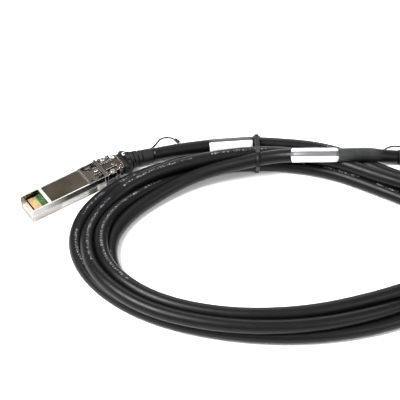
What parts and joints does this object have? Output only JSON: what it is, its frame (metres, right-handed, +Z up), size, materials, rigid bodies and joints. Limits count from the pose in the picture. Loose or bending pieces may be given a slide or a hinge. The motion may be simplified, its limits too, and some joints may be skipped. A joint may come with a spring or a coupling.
{
  "type": "direct attach copper cable",
  "caption": "Coiled twinax cable with a metal pluggable module at each end, each with a sliding latch release, a slit boot and a small pull cord.",
  "frame": {"origin": "on the table, midway between the two plugs, at the middle of the plugs' and boots' footprint", "axes": "+X from plug a towards plug b, +Y away from the coil's open side, +Z up from the table"},
  "size_m": [0.2748, 0.1452, 0.0162],
  "materials": {
    "cover_shell": "nickel plated zinc, bright",
    "latch_shell": "nickel plated zinc, bright",
    "contact_gasket": "plated spring strip",
    "circuit_board": "solder mask",
    "contact_pads": "gold flash",
    "board_parts": "moulded packages",
    "release_slide": "stamped stainless strip",
    "return_spring": "spring wire",
    "shell_screws": "plated",
    "crimp_ferrule": "drawn tube",
    "twinax_pairs": "clear-coated foam insulation",
    "strain_relief": "moulded, matte",
    "pull_lanyard": "braided cord",
    "lanyard_bead": "moulded",
    "cable": "extruded jacket, satin",
    "label": "vinyl wrap",
    "tie": "moulded nylon"
  },
  "bodies": {
    "cable_and_plugs": {"cover_shell_a": "cover_shell", "latch_shell_a": "latch_shell", "contact_gasket_a": "contact_gasket", "circuit_board_a": "circuit_board", "contact_pads_a": "contact_pads", "board_parts_a": "board_parts", "return_spring_a": "return_spring", "shell_screws_a": "shell_screws", "crimp_ferrule_a": "crimp_ferrule", "twinax_pairs_a": "twinax_pairs", "strain_relief_a": "strain_relief", "pull_lanyard_a": "pull_lanyard", "lanyard_bead_a": "lanyard_bead", "cover_shell_b": "cover_shell", "latch_shell_b": "latch_shell", "contact_gasket_b": "contact_gasket", "circuit_board_b": "circuit_board", "contact_pads_b": "contact_pads", "board_parts_b": "board_parts", "return_spring_b": "return_spring", "shell_screws_b": "shell_screws", "crimp_ferrule_b": "crimp_ferrule", "twinax_pairs_b": "twinax_pairs", "strain_relief_b": "strain_relief", "pull_lanyard_b": "pull_lanyard", "lanyard_bead_b": "lanyard_bead", "cable_coil": "cable", "cable_tail_a": "cable", "cable_tail_b": "cable", "label_wrap_a": "label", "label_wrap_b": "label", "cable_tie": "tie"},
    "release_a": {"release_slide_a": "release_slide"},
    "release_b": {"release_slide_b": "release_slide"}
  },
  "joints": [
    {"name": "latch_release_a", "type": "slide", "parent": "cable_and_plugs", "child": "release_a", "axis": [0.8281, 0.5606, 0], "range_m": [0, 0.0025], "stiffness_N_per_m": 1500, "springref_m": -0.001},
    {"name": "latch_release_b", "type": "slide", "parent": "cable_and_plugs", "child": "release_b", "axis": [-0.8281, 0.5606, 0], "range_m": [0, 0.0025], "stiffness_N_per_m": 1500, "springref_m": -0.001}
  ]
}
